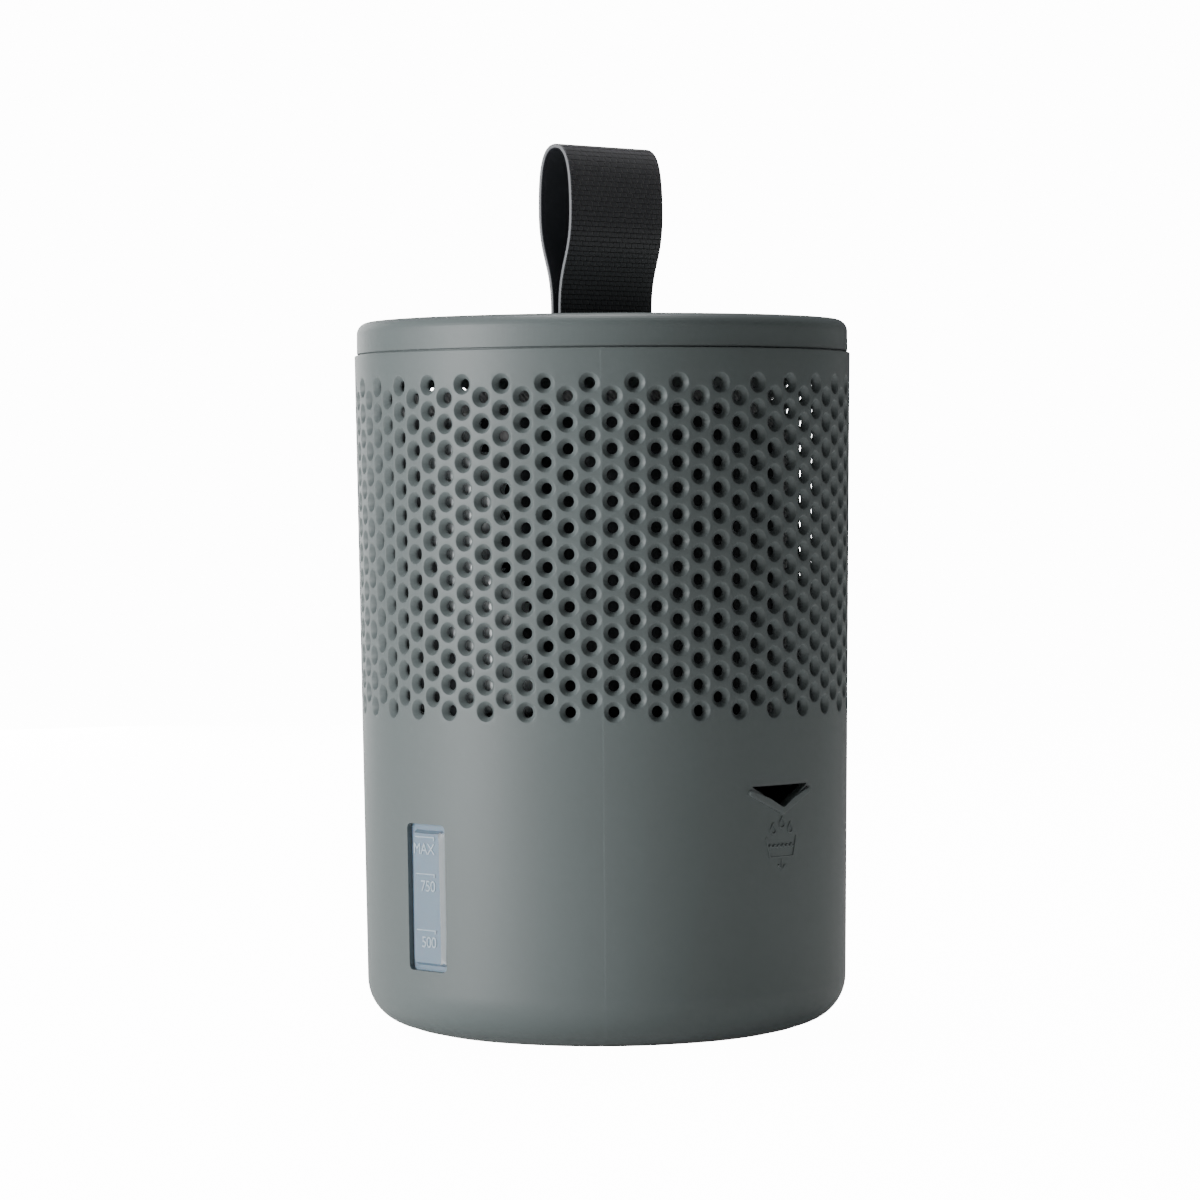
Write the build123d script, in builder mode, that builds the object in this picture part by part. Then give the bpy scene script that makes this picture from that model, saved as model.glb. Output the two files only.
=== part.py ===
"""Passive moisture absorber: a perforated canister with a brine reservoir, refill pouch and strapped lid.

Frame: origin at the centre of the foot ring, +Z up. The level window faces -Y and the pour spout faces +X.
All sizes are in millimetres. The wall has draft, so radii are given at the rim and shrink towards the foot.
"""

from build123d import *
import os
from math import atan2, cos, degrees, radians, sin, tan

os.makedirs("parts", exist_ok=True)

# Housing shell
rim_radius = 75.0
body_height = 203.3
draft_angle = 0.816
wall = 2.3
corner_radius = 13.7  # tight arc where the wall turns in
corner_turn = 68.5  # degrees of that arc, before the slower base arc takes over
base_radius = 43.5  # slow arc that runs onto the foot
foot_width = 7.7
foot_recess = 1.2
notch_width = 4.2
notch_height = 1.0
notch_angle = 45.0  # the mould's parting lines, one notch on each

# Perforated band
columns = 72
row_pitch = 7.56
top_row_drop = 10.1  # from the rim to the first row
hole_radius = 1.65
dimple_radius = 2.95
dimple_depth = 1.4
facet_depth = 0.25  # the band's outer facets lie this far inside the round wall
facet_backing = 0.2  # and its inner facets this far inside the wall's inner face
band_margin = 4.0  # solid wall between a row's centre and the band's end

# Level window
window_angle = -91.0  # degrees round the axis; the spout is at zero
window_width = 16.4
window_height = 43.0
window_low = 22.3
window_corner = 1.5
window_setback = 1.7
plateau_gap = 1.55
plateau_corner = 1.0
plateau_setback = 0.25
plateau_slope = 32.0
flange_lap = 2.6
flange_thickness = 1.2

# Pour spout
spout_width = 23.8
spout_depth = 6.6
spout_top = 76.1
lip_width = 1.8  # below the opening's point
lip_drop = 0.8  # the lip's ends stop this far under the opening's corners
lip_height = 0.9

# Drip grate and the ribs that it stands on
grate_level = 86.0  # underside of the grate
grate_thickness = 2.2
grate_rim_height = 5.0
grate_rim_thickness = 1.6
grate_clearance = 0.6
slot_width = 3.2
slot_pitch = 6.4
rib_count = 8  # a multiple of four keeps the ribs clear of the window and the spout
rib_thickness = 2.0
rib_depth = 5.5

# Lid
lid_height = 10.0
lid_step = 0.7  # the lid's side stands this far inside the rim
lid_edge_radius = 3.6
lid_plate = 2.4
lid_side = 2.0
seam_gap = 0.35
seam_depth = 0.8
skirt_depth = 6.0
skirt_thickness = 1.8
lid_fit = 0.35  # radial clearance of the skirt in the rim

# Strap
strap_width = 39.0
strap_thickness = 1.3
strap_rise = 53.1  # top of the loop above the lid
loop_half_width = 6.65  # centreline
loop_widest_drop = 18.9  # from the top of the loop to its widest place
neck_stiffness = 0.5  # how far the loop's curve runs straight on from its root, as a share of the neck
crown_fullness = 0.64  # the same at the widest place, as a share of the crown's height
crown_flatness = 0.78  # and at the top, as a share of the half width
tail_spacing = 3.2
tail_bend = 1.0
tail_length = 17.0
slot_play = 0.4
fold_clearance = 0.35

# Strap clamp under the lid
clamp_thickness = 2.0
clamp_margin = 2.5
boss_radius = 3.0
boss_play = 0.4
screw_radius = 1.25
screw_play = 0.15
screw_reach = 2.7  # above the clamp plate
screw_head_radius = 2.6
screw_head_height = 1.6
recess_length = 2.8
recess_width = 0.7
screw_inset = 9.0  # from the slot's edge to the screw line
screw_row = 12.0  # half the distance between the two screws of a tail

# Refill pouch
pouch_turn = 34.0  # degrees from facing the window towards the spout
pouch_half_width = 58.0
pouch_front_depth = 44.0  # from the seam to the wall that the film leans on
pouch_back_depth = 28.0
pouch_wall_gap = 0.8
pouch_play = 0.3
pouch_bulge = 3.0  # how far the free pouch would pass the wall that it leans on
pouch_sheet = 0.5
pouch_seam = 6.0
pouch_seam_thickness = 0.8
pouch_end_round = 13.0
pouch_headroom = 11.0  # from the top seam to the lid's skirt level


def wall_radius(z):
    """Outer radius of the drafted wall at height z."""
    return rim_radius - (body_height - z) * tan(radians(draft_angle))


def radial_plane(angle, radius, z, tilt=0.0):
    """A plane at this angle, radius and height whose normal points outwards, tilted down with the draft."""
    turn, dip = radians(angle), radians(tilt)
    outwards = (cos(turn) * cos(dip), sin(turn) * cos(dip), -sin(dip))
    return Plane((radius * cos(turn), radius * sin(turn), z), x_dir=(-sin(turn), cos(turn), 0), z_dir=outwards)


# Heights and radii that follow from the sizes above
arc_step = base_radius - corner_radius
corner_level = base_radius - arc_step * sin(radians(corner_turn))
corner_centre = wall_radius(corner_level) - corner_radius
base_centre = corner_centre - arc_step * cos(radians(corner_turn))
band_bottom = grate_level + grate_thickness + grate_rim_height
top_row = body_height - top_row_drop
rows = int((top_row - row_pitch / 2 - band_bottom - band_margin) / row_pitch) + 1
band_low = top_row - (rows - 0.5) * row_pitch - band_margin
band_high = top_row + band_margin


def shell_solid(inset):
    """The canister's full shape, filled up to the rim and drawn this far inside its outer face."""
    side = wall_radius(corner_level) - inset
    with BuildPart() as filled:
        with BuildSketch(Plane.XZ):
            with BuildLine():
                Line((0, body_height), (0, inset))
                Line((0, inset), (base_centre, inset))
                CenterArc((base_centre, base_radius), base_radius - inset, -90, 90 - corner_turn)
                CenterArc((corner_centre, corner_level), corner_radius - inset, -corner_turn, corner_turn)
                Line((side, corner_level), (rim_radius - inset, body_height))
                Line((rim_radius - inset, body_height), (0, body_height))
            make_face()
        revolve(axis=Axis.Z)
    return filled.part


def band_prism(inset):
    """A drafted prism with one flat facet for each column of holes."""
    with BuildPart() as prism:
        with BuildSketch(Plane.XY.offset(band_low)):
            RegularPolygon(wall_radius(band_low) - inset, columns, major_radius=False)
        extrude(amount=band_high - band_low)
        draft(prism.faces().filter_by(Axis.Z, reverse=True), Plane.XY.offset(band_low), -draft_angle)
    return prism.part


# Surfaces that the pieces share, each a full solid drawn inside the outer face by its inset
outer_form = shell_solid(0)
mid_wall_form = shell_solid(wall / 2)
cavity_form = shell_solid(wall)
flange_form = shell_solid(wall + flange_thickness)
pane_form = shell_solid(window_setback)
plateau_form = shell_solid(plateau_setback)
lip_form = shell_solid(-lip_height)

outer_prism = band_prism(facet_depth)
inner_prism = band_prism(wall + facet_backing)
facet_centre = outer_prism.faces().filter_by(Axis.Z, reverse=True).sort_by(Axis.X)[-1].center()
first_column = degrees(atan2(facet_centre.Y, facet_centre.X))
dimple_angle = 2 * degrees(atan2(dimple_radius - hole_radius, dimple_depth))

# Perforated band: every other column, from the first, sits half a pitch lower
hole_planes = []
for column in range(columns):
    for row in range(rows):
        height = top_row - (row + 0.5 * ((column + 1) % 2)) * row_pitch
        turn = first_column + column * 360 / columns
        hole_planes.append(radial_plane(turn, wall_radius(height) - facet_depth, height, draft_angle))

with BuildPart() as perforated_band:
    add(outer_prism)
    add(inner_prism, mode=Mode.SUBTRACT)
    with Locations(*hole_planes):
        CounterSinkHole(hole_radius, dimple_radius, depth=2 * wall, counter_sink_angle=dimple_angle)

# Housing: shell, grate ribs, foot, window cut-out and pour spout in one moulding
window_centre = window_low + window_height / 2
window_plane = radial_plane(window_angle, rim_radius + wall, window_centre)
spout_plane = radial_plane(0, rim_radius + wall, spout_top)
notch_radius = (notch_width**2 / 4 + notch_height**2) / (2 * notch_height)
notch_planes = [
    radial_plane(notch_angle + 90 * quarter, base_centre - foot_width / 2, notch_height - notch_radius)
    for quarter in range(4)
]

with BuildPart() as ribs:
    with BuildSketch():
        with PolarLocations(rim_radius - rib_depth, rib_count, start_angle=180 / rib_count):
            Rectangle(2 * (rib_depth + wall), rib_thickness)
        Circle(wall_radius(grate_level) - wall - rib_depth, mode=Mode.SUBTRACT)
    extrude(amount=grate_level)
    add(mid_wall_form, mode=Mode.INTERSECT)

with BuildPart() as spout_lip:
    with BuildSketch(spout_plane):
        with BuildLine():
            Polyline(
                (-spout_width / 2, -lip_drop),
                (spout_width / 2, -lip_drop),
                (0, -spout_depth - lip_width),
                close=True,
            )
        make_face()
    extrude(amount=-rim_radius / 2)
    add(lip_form, mode=Mode.INTERSECT)
    add(mid_wall_form, mode=Mode.SUBTRACT)

with BuildPart() as housing:
    add(outer_form)
    add(cavity_form, mode=Mode.SUBTRACT)
    add(ribs.part)
    add(spout_lip.part)

    # The faceted band takes the place of the round wall
    with BuildSketch(Plane.XY.offset(band_low)):
        Circle(rim_radius + wall)
    extrude(amount=band_high - band_low, mode=Mode.SUBTRACT)
    add(perforated_band.part)

    # Foot: a ring to stand on, with a small arched notch on each parting line
    with BuildSketch():
        Circle(base_centre - foot_width)
    extrude(amount=foot_recess, mode=Mode.SUBTRACT)
    with Locations(*notch_planes):
        Cylinder(notch_radius, 2 * foot_width, mode=Mode.SUBTRACT)

    # Level window cut-out
    with BuildSketch(window_plane):
        RectangleRounded(window_width, window_height, window_corner)
    extrude(amount=-rim_radius / 2, mode=Mode.SUBTRACT)

    # Pour opening above the lip
    with BuildSketch(spout_plane):
        with BuildLine():
            Polyline((-spout_width / 2, 0), (spout_width / 2, 0), (0, -spout_depth), close=True)
        make_face()
    extrude(amount=-rim_radius / 2, mode=Mode.SUBTRACT)

# Level window: a flange welded inside the wall, a pane in the cut-out and a raised, bevelled plateau
with BuildPart() as window_flange:
    with BuildSketch(window_plane):
        RectangleRounded(window_width + 2 * flange_lap, window_height + 2 * flange_lap, window_corner + flange_lap)
    extrude(amount=-rim_radius / 2)
    add(cavity_form, mode=Mode.INTERSECT)
    add(flange_form, mode=Mode.SUBTRACT)

with BuildPart() as window_plateau:
    with BuildSketch(radial_plane(window_angle, wall_radius(window_low) - window_setback, window_centre)):
        RectangleRounded(window_width - 2 * plateau_gap, window_height - 2 * plateau_gap, plateau_corner)
    extrude(amount=wall, taper=plateau_slope)
    add(plateau_form, mode=Mode.INTERSECT)

with BuildPart() as level_window:
    with BuildSketch(window_plane):
        RectangleRounded(window_width, window_height, window_corner)
    extrude(amount=-rim_radius / 2)
    add(pane_form, mode=Mode.INTERSECT)
    add(flange_form, mode=Mode.SUBTRACT)
    add(window_flange.part)
    add(window_plateau.part)

# Drip grate: a slotted tray that holds the pouch above the brine
grate_radius = wall_radius(grate_level) - wall - grate_clearance
slot_field = grate_radius - rib_depth
slot_count = 2 * int(slot_field / slot_pitch - 0.5) + 1

with BuildPart() as drip_grate:
    with BuildSketch(Plane.XY.offset(grate_level)):
        Circle(grate_radius)
    extrude(amount=grate_thickness + grate_rim_height)
    with BuildSketch(Plane.XY.offset(grate_level + grate_thickness)):
        Circle(grate_radius - grate_rim_thickness)
    extrude(amount=grate_rim_height, mode=Mode.SUBTRACT)
    with BuildSketch(Plane.XY.offset(grate_level)):
        for index in range(slot_count):
            offset_x = (index - slot_count // 2) * slot_pitch
            chord = (slot_field**2 - offset_x**2) ** 0.5
            slot_length = chord - slot_width
            with Locations((offset_x, chord / 2), (offset_x, -chord / 2)):
                SlotOverall(max(slot_length, 2 * slot_width), slot_width, rotation=90)
    extrude(amount=grate_thickness, mode=Mode.SUBTRACT)

# Refill pouch: two sheets welded round the edge, with the granules between them
pouch_low = grate_level + grate_thickness + pouch_play + pouch_seam
pouch_high = body_height - skirt_depth - pouch_headroom
pouch_offset = -(wall_radius(pouch_low) - wall - pouch_wall_gap - pouch_front_depth)


def pouch_solid(inset):
    """The pouch's pillow, drawn this far inside its outer face: deep in front, where it leans on the wall."""
    chamber = shell_solid(wall + pouch_wall_gap + inset)
    half_width = pouch_half_width - inset
    with BuildPart() as pillow:
        with BuildSketch(Plane.XY.offset(pouch_low + inset)):
            with BuildLine():
                front_depth = pouch_front_depth + pouch_bulge - inset
                EllipticalCenterArc((0, pouch_offset), half_width, pouch_back_depth - inset, arc_size=180)
                EllipticalCenterArc((0, pouch_offset), half_width, front_depth, start_angle=180, arc_size=180)
            make_face()
        extrude(amount=pouch_high - pouch_low - 2 * inset)
        fillet(pillow.faces().filter_by(Axis.Z).edges(), pouch_end_round - inset)
        add(chamber, mode=Mode.INTERSECT)
    return pillow.part


seam_width = 2 * (pouch_half_width + pouch_seam)
seam_height = pouch_high - pouch_low + 2 * pouch_seam
seam_plane = Plane((0, pouch_offset, (pouch_low + pouch_high) / 2), x_dir=(1, 0, 0), z_dir=(0, -1, 0))
pillow_solid = pouch_solid(0)
granule_solid = pouch_solid(pouch_sheet)

with BuildPart() as pouch_envelope:
    with BuildSketch(seam_plane):
        RectangleRounded(seam_width, seam_height, pouch_end_round + pouch_seam)
    extrude(amount=pouch_seam_thickness / 2, both=True)
    add(pillow_solid)
    add(granule_solid, mode=Mode.SUBTRACT)

with BuildPart() as front_half:
    add(pouch_envelope.part)
    split(bisect_by=seam_plane, keep=Keep.TOP)

with BuildPart() as back_half:
    add(pouch_envelope.part)
    split(bisect_by=seam_plane, keep=Keep.BOTTOM)

with BuildPart() as pouch_film:
    add(front_half.part, rotation=(0, 0, pouch_turn))

with BuildPart() as pouch_membrane:
    add(back_half.part, rotation=(0, 0, pouch_turn))

with BuildPart() as absorbent_granules:
    add(granule_solid, rotation=(0, 0, pouch_turn))

# Lid: a cap that rests on the rim, with a plain skirt inside it and a slot for the strap
lid_radius = rim_radius - lid_step
lid_top = body_height + lid_height
lid_under = lid_top - lid_plate
skirt_radius = wall_radius(body_height - skirt_depth) - wall - lid_fit
slot_half_width = tail_spacing / 2 + tail_bend
tail_level = lid_under - strap_thickness / 2
clamp_top = lid_under - strap_thickness
screw_points = [
    (side * (slot_half_width + screw_inset), row * screw_row) for side in (-1, 1) for row in (-1, 1)
]

with BuildPart() as lid:
    with BuildSketch(Plane.XZ):
        with BuildLine():
            Polyline(
                (0, lid_top),
                (0, lid_under),
                (lid_radius - lid_side, lid_under),
                (lid_radius - lid_side, body_height + skirt_thickness),
                (skirt_radius - skirt_thickness, body_height + skirt_thickness),
                (skirt_radius - skirt_thickness, body_height - skirt_depth),
                (skirt_radius, body_height - skirt_depth),
                (skirt_radius, body_height),
                (lid_radius - seam_depth, body_height),
                (lid_radius - seam_depth, body_height + seam_gap),
                (lid_radius, body_height + seam_gap),
                (lid_radius, lid_top),
                close=True,
            )
        make_face()
    revolve(axis=Axis.Z)
    fillet(lid.faces().sort_by(Axis.Z)[-1].edges(), lid_edge_radius)
    with BuildSketch(Plane.XY.offset(clamp_top)):
        with Locations(*screw_points):
            Circle(boss_radius)
    extrude(amount=strap_thickness)
    with BuildSketch(Plane.XY.offset(clamp_top)):
        with Locations(*screw_points):
            Circle(screw_radius)
    extrude(amount=screw_reach, mode=Mode.SUBTRACT)
    with BuildSketch(Plane.XY.offset(lid_top)):
        Rectangle(2 * slot_half_width, strap_width + 2 * slot_play)
    extrude(amount=-lid_plate, mode=Mode.SUBTRACT)

# Strap: the free loop above the lid, and its two tails that fold out under the lid
loop_root = lid_top + tail_spacing / 2 + strap_thickness / 2 + fold_clearance
loop_top = lid_top + strap_rise - strap_thickness / 2
loop_widest = loop_top - loop_widest_drop
neck_pull = neck_stiffness * (loop_widest - loop_root)
crown_pull = crown_fullness * loop_widest_drop

with BuildPart() as strap_loop:
    with BuildSketch(Plane.XZ):
        with BuildLine():
            Bezier(
                (tail_spacing / 2, loop_root),
                (tail_spacing / 2, loop_root + neck_pull),
                (loop_half_width, loop_widest - neck_pull),
                (loop_half_width, loop_widest),
            )
            Bezier(
                (loop_half_width, loop_widest),
                (loop_half_width, loop_widest + crown_pull),
                (crown_flatness * loop_half_width, loop_top),
                (0, loop_top),
            )
        trace(line_width=strap_thickness)
    extrude(amount=strap_width / 2, both=True)
    mirror(about=Plane.YZ)

with BuildPart() as strap_tails:
    with BuildSketch(Plane.XZ):
        with BuildLine():
            Line((tail_spacing / 2, lid_top - fold_clearance), (tail_spacing / 2, tail_level + tail_bend))
            CenterArc((slot_half_width, tail_level + tail_bend), tail_bend, 180, 90)
            Line((slot_half_width, tail_level), (slot_half_width + tail_length, tail_level))
            offset(amount=strap_thickness / 2, side=Side.BOTH)
        make_face()
    extrude(amount=strap_width / 2, both=True)
    mirror(about=Plane.YZ)
    with BuildSketch(Plane.XY.offset(clamp_top)):
        with Locations(*screw_points):
            Circle(boss_radius + boss_play)
    extrude(amount=strap_thickness, mode=Mode.SUBTRACT)

# Clamp plate and its screws, which hold the tails against the lid
with BuildPart() as strap_clamp_plate:
    with BuildSketch(Plane.XY.offset(clamp_top)):
        RectangleRounded(
            2 * (slot_half_width + tail_length + clamp_margin), strap_width + 2 * clamp_margin, boss_radius
        )
        with Locations(*screw_points):
            Circle(screw_radius + screw_play, mode=Mode.SUBTRACT)
    extrude(amount=-clamp_thickness)

with BuildPart() as clamp_screws:
    with BuildSketch(Plane.XY.offset(clamp_top - clamp_thickness)):
        with Locations(*screw_points):
            Circle(screw_radius)
    extrude(amount=clamp_thickness + screw_reach)
    with BuildSketch(Plane.XY.offset(clamp_top - clamp_thickness)):
        with Locations(*screw_points):
            Circle(screw_head_radius)
    extrude(amount=-screw_head_height)
    with BuildSketch(Plane.XY.offset(clamp_top - clamp_thickness - screw_head_height)):
        with Locations(*screw_points):
            Rectangle(recess_length, recess_width)
            Rectangle(recess_width, recess_length)
    extrude(amount=screw_head_height / 2, mode=Mode.SUBTRACT)

pieces = {
    "housing": housing,
    "level_window": level_window,
    "drip_grate": drip_grate,
    "pouch_film": pouch_film,
    "pouch_membrane": pouch_membrane,
    "absorbent_granules": absorbent_granules,
    "lid": lid,
    "strap_loop": strap_loop,
    "strap_tails": strap_tails,
    "strap_clamp_plate": strap_clamp_plate,
    "clamp_screws": clamp_screws,
}
for name, piece in pieces.items():
    piece.part.label = name
    export_step(piece.part, f"parts/{name}.step")
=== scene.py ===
import math

import bpy
from mathutils import Matrix, Vector, noise


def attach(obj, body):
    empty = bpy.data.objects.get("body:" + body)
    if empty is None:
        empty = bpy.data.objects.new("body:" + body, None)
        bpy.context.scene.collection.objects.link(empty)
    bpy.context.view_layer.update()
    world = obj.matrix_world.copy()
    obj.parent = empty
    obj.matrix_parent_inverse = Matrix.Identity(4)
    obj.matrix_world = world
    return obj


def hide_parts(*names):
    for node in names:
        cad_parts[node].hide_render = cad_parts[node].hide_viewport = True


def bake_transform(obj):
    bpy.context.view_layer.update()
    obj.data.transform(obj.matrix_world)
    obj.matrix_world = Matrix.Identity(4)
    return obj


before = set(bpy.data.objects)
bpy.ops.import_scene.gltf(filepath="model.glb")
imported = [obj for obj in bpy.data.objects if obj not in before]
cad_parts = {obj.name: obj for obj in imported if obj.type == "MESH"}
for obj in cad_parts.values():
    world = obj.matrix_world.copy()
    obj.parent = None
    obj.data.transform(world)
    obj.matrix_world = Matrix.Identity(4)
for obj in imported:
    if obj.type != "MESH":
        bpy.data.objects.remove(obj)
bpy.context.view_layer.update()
mm = 0.001


# Studio -----------------------------------------------------------------------------------------
# A pale table, a large soft window light from the left, and the camera.
# The canister stands a little over a metre away, seen level with its perforated band, with a long lens.
def linear(colour):
    """Linear RGBA from an sRGB hex colour."""
    parts = [int(colour[i : i + 2], 16) / 255 for i in (1, 3, 5)]
    return [c / 12.92 if c <= 0.04045 else ((c + 0.055) / 1.055) ** 2.4 for c in parts] + [1.0]


def new_material(name):
    """A material with only a Principled shader wired to its output; returns its tree and the shader."""
    material = bpy.data.materials.new(name)
    material.use_nodes = True
    shader = material.node_tree.nodes["Principled BSDF"]
    return material, material.node_tree, shader


def add_node(tree, kind, settings=(), inputs=(), links=()):
    """Add one node from its attributes, socket values and links, each a socket, a node and its socket."""
    node = tree.nodes.new(kind)
    for key, value in dict(settings).items():
        setattr(node, key, value)
    for key, value in dict(inputs).items():
        node.inputs[key].default_value = value
    for key, source, output in links:
        tree.links.new(source.outputs[output], node.inputs[key])
    return node


def start_piece():
    """Leave edit mode's leftovers behind: nothing is selected when a new piece begins."""
    bpy.ops.object.select_all(action="DESELECT")


camera_azimuth = math.radians(-44.6)
camera_distance = 1.322
eye_height = 0.165
camera_data = bpy.data.cameras.new("camera")
camera_data.sensor_width = 36
camera_data.lens = 130.8
camera_data.shift_x = -0.0026
camera_data.shift_y = -0.0992
camera = bpy.data.objects.new("camera", camera_data)
camera.location = (
    camera_distance * math.cos(camera_azimuth),
    camera_distance * math.sin(camera_azimuth),
    eye_height,
)
camera.rotation_euler = (math.radians(90), math.radians(0.44), camera_azimuth + math.radians(90))
bpy.context.scene.collection.objects.link(camera)
bpy.context.scene.camera = camera

# The camera sees a table and air that glow white, for a white backdrop; the object gets only a trace of it
backdrop_glow = 14
start_piece()
bpy.ops.mesh.primitive_plane_add(size=12, location=(0, 0, 0))
table = bpy.context.object
table.name = "table"
table_paint, tree, shader = new_material("white_studio_table")
shader.inputs["Base Color"].default_value = linear("#F4F4F3")
shader.inputs["Roughness"].default_value = 0.8
shader.inputs["Emission Color"].default_value = linear("#FFFFFF")
seen = add_node(tree, "ShaderNodeLightPath")
glow = add_node(
    tree, "ShaderNodeMapRange", inputs={"To Min": 0.1, "To Max": backdrop_glow},
    links=[("Value", seen, "Is Camera Ray")],
)
tree.links.new(glow.outputs["Result"], shader.inputs["Emission Strength"])
table.data.materials.append(table_paint)

world = bpy.data.worlds.new("studio_air")
world.use_nodes = True
bpy.context.scene.world = world
sky = world.node_tree.nodes["Background"]
seen = add_node(world.node_tree, "ShaderNodeLightPath")
glow = add_node(
    world.node_tree, "ShaderNodeMapRange", inputs={"To Min": 0.03, "To Max": backdrop_glow},
    links=[("Value", seen, "Is Camera Ray")],
)
sky.inputs["Color"].default_value = linear("#FFFFFF")
world.node_tree.links.new(glow.outputs["Result"], sky.inputs["Strength"])


def add_light(name, size, energy, azimuth, elevation, distance, target):
    """A square soft box at this angle round the canister, aimed at a point on its axis."""
    data = bpy.data.lights.new(name, "AREA")
    data.size = size
    data.energy = energy
    light = bpy.data.objects.new(name, data)
    around, above = math.radians(azimuth), math.radians(elevation)
    level = math.cos(above)
    direction = Vector((math.cos(around) * level, math.sin(around) * level, math.sin(above)))
    light.location = Vector((0, 0, target)) + direction * distance
    light.rotation_euler = direction.to_track_quat("Z", "Y").to_euler()
    bpy.context.scene.collection.objects.link(light)


add_light("left_window", 0.9, 40, -109, 8, 1.8, 0.12)
add_light("top_box", 0.7, 20, 150, 82, 1.6, 0.2)
add_light("back_left", 0.8, 9, 160, 10, 1.6, 0.12)
add_light("back_right", 0.6, 0.35, 92, 10, 1.6, 0.12)

# Housing ----------------------------------------------------------------------------------------
# One injection moulding in grey-green polypropylene: drafted wall, perforated band, foot and pour lip.
# Side cores pull out along the radius, so every dimple points at the axis,
# and the edges where the cores met leave faint lines.
rim_radius = 75.0 * mm
body_height = 203.3 * mm
draft = math.tan(math.radians(0.816))
wall = 2.3 * mm
corner_radius = 13.7 * mm
corner_turn = 68.5
base_radius = 43.5 * mm
foot_width = 7.7 * mm
foot_recess = 1.2 * mm
columns = 72
rows = 13
row_pitch = 7.56 * mm
top_row = body_height - 10.1 * mm
steps_round = 4 * columns


def wall_radius(z):
    """Outer radius of the drafted wall at height z."""
    return rim_radius - (body_height - z) * draft


def take_vertices(piece, keep):
    """In edit mode's data, select just the vertices that keep() accepts, with their edges and faces."""
    bpy.ops.object.mode_set(mode="OBJECT")
    mesh = piece.data
    for vertex in mesh.vertices:
        vertex.select = keep(vertex.co)
    for edge in mesh.edges:
        edge.select = all(mesh.vertices[i].select for i in edge.vertices)
    for face in mesh.polygons:
        face.select = all(mesh.vertices[i].select for i in face.vertices)
    bpy.ops.object.mode_set(mode="EDIT")
    bpy.ops.mesh.select_mode(type="VERT")


def merge_all(piece, distance=0.005 * mm):
    """Weld a piece's doubles and turn its faces outwards."""
    bpy.context.view_layer.objects.active = piece
    bpy.ops.object.mode_set(mode="EDIT")
    bpy.ops.mesh.select_all(action="SELECT")
    bpy.ops.mesh.remove_doubles(threshold=distance)
    bpy.ops.mesh.normals_make_consistent(inside=False)
    bpy.ops.object.mode_set(mode="OBJECT")


def apply_modifier(piece, kind, **settings):
    """Add one modifier with its settings and apply it at once."""
    bpy.context.view_layer.objects.active = piece
    modifier = piece.modifiers.new(kind.lower(), kind)
    for key, value in settings.items():
        setattr(modifier, key, value)
    bpy.ops.object.modifier_apply(modifier=modifier.name)


def join_pieces(pieces, name):
    """Join several mesh objects into one, which takes the name."""
    bpy.ops.object.select_all(action="DESELECT")
    for piece in pieces:
        piece.select_set(True)
    bpy.context.view_layer.objects.active = pieces[0]
    bpy.ops.object.join()
    pieces[0].name = name
    return pieces[0]


# One cell of the band, laid flat: a dimple with a rolled edge that narrows to the hole through the wall
cell_width = 2 * math.pi * rim_radius / columns
ring_sizes = [(2.94, -0.1), (1.72, -1.42), (1.65, -2.3)]
mouth = 3.12 * mm
start_piece()
bpy.ops.mesh.primitive_circle_add(vertices=16, radius=mouth, fill_type="NOTHING")
cell = bpy.context.object
bpy.ops.object.mode_set(mode="EDIT")


def square_off():
    """Move the selected ring of sixteen onto the cell's outline, four even steps to a side."""
    bpy.ops.object.mode_set(mode="OBJECT")
    for vertex in cell.data.vertices:
        if vertex.select:
            angle = math.atan2(vertex.co.y, vertex.co.x)
            quarter = round(angle / (math.pi / 2))
            share = (angle - quarter * math.pi / 2) / (math.pi / 4)
            along = Vector((math.cos(quarter * math.pi / 2), math.sin(quarter * math.pi / 2)))
            point = along + Vector((-along.y, along.x)) * share
            vertex.co.x = point.x * cell_width / 2
            vertex.co.y = point.y * row_pitch / 2
    bpy.ops.object.mode_set(mode="EDIT")


bpy.ops.mesh.select_all(action="SELECT")
bpy.ops.mesh.extrude_region_move()
square_off()
previous = (mouth / mm, 0.0)
take_vertices(cell, lambda co: abs(co.xy.length - mouth) < 0.01 * mm)
for size, depth in ring_sizes:
    bpy.ops.mesh.extrude_region_move(TRANSFORM_OT_translate={"value": (0, 0, (depth - previous[1]) * mm)})
    bpy.ops.transform.resize(value=(size / previous[0], size / previous[0], 1))
    previous = (size, depth)
bpy.ops.mesh.extrude_region_move()
square_off()
bpy.ops.object.mode_set(mode="OBJECT")

# Half a cell without a hole fills the end of each column, front and back
half_cells = []
for depth in (0, -wall):
    start_piece()
    bpy.ops.mesh.primitive_grid_add(x_subdivisions=4, y_subdivisions=2, size=1, location=(0, 0, depth))
    bpy.ops.transform.resize(value=(cell_width, row_pitch / 2, 1))
    bpy.ops.object.transform_apply(location=True, rotation=False, scale=True)
    half_cells.append(bpy.context.object)
half_cell = join_pieces(half_cells, "half_cell")


def copy_piece(piece, shift):
    """A copy of a piece with its own mesh, moved by shift in the mesh itself."""
    twin = piece.copy()
    twin.data = piece.data.copy()
    twin.data.transform(Matrix.Translation(shift))
    bpy.context.scene.collection.objects.link(twin)
    return twin


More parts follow.
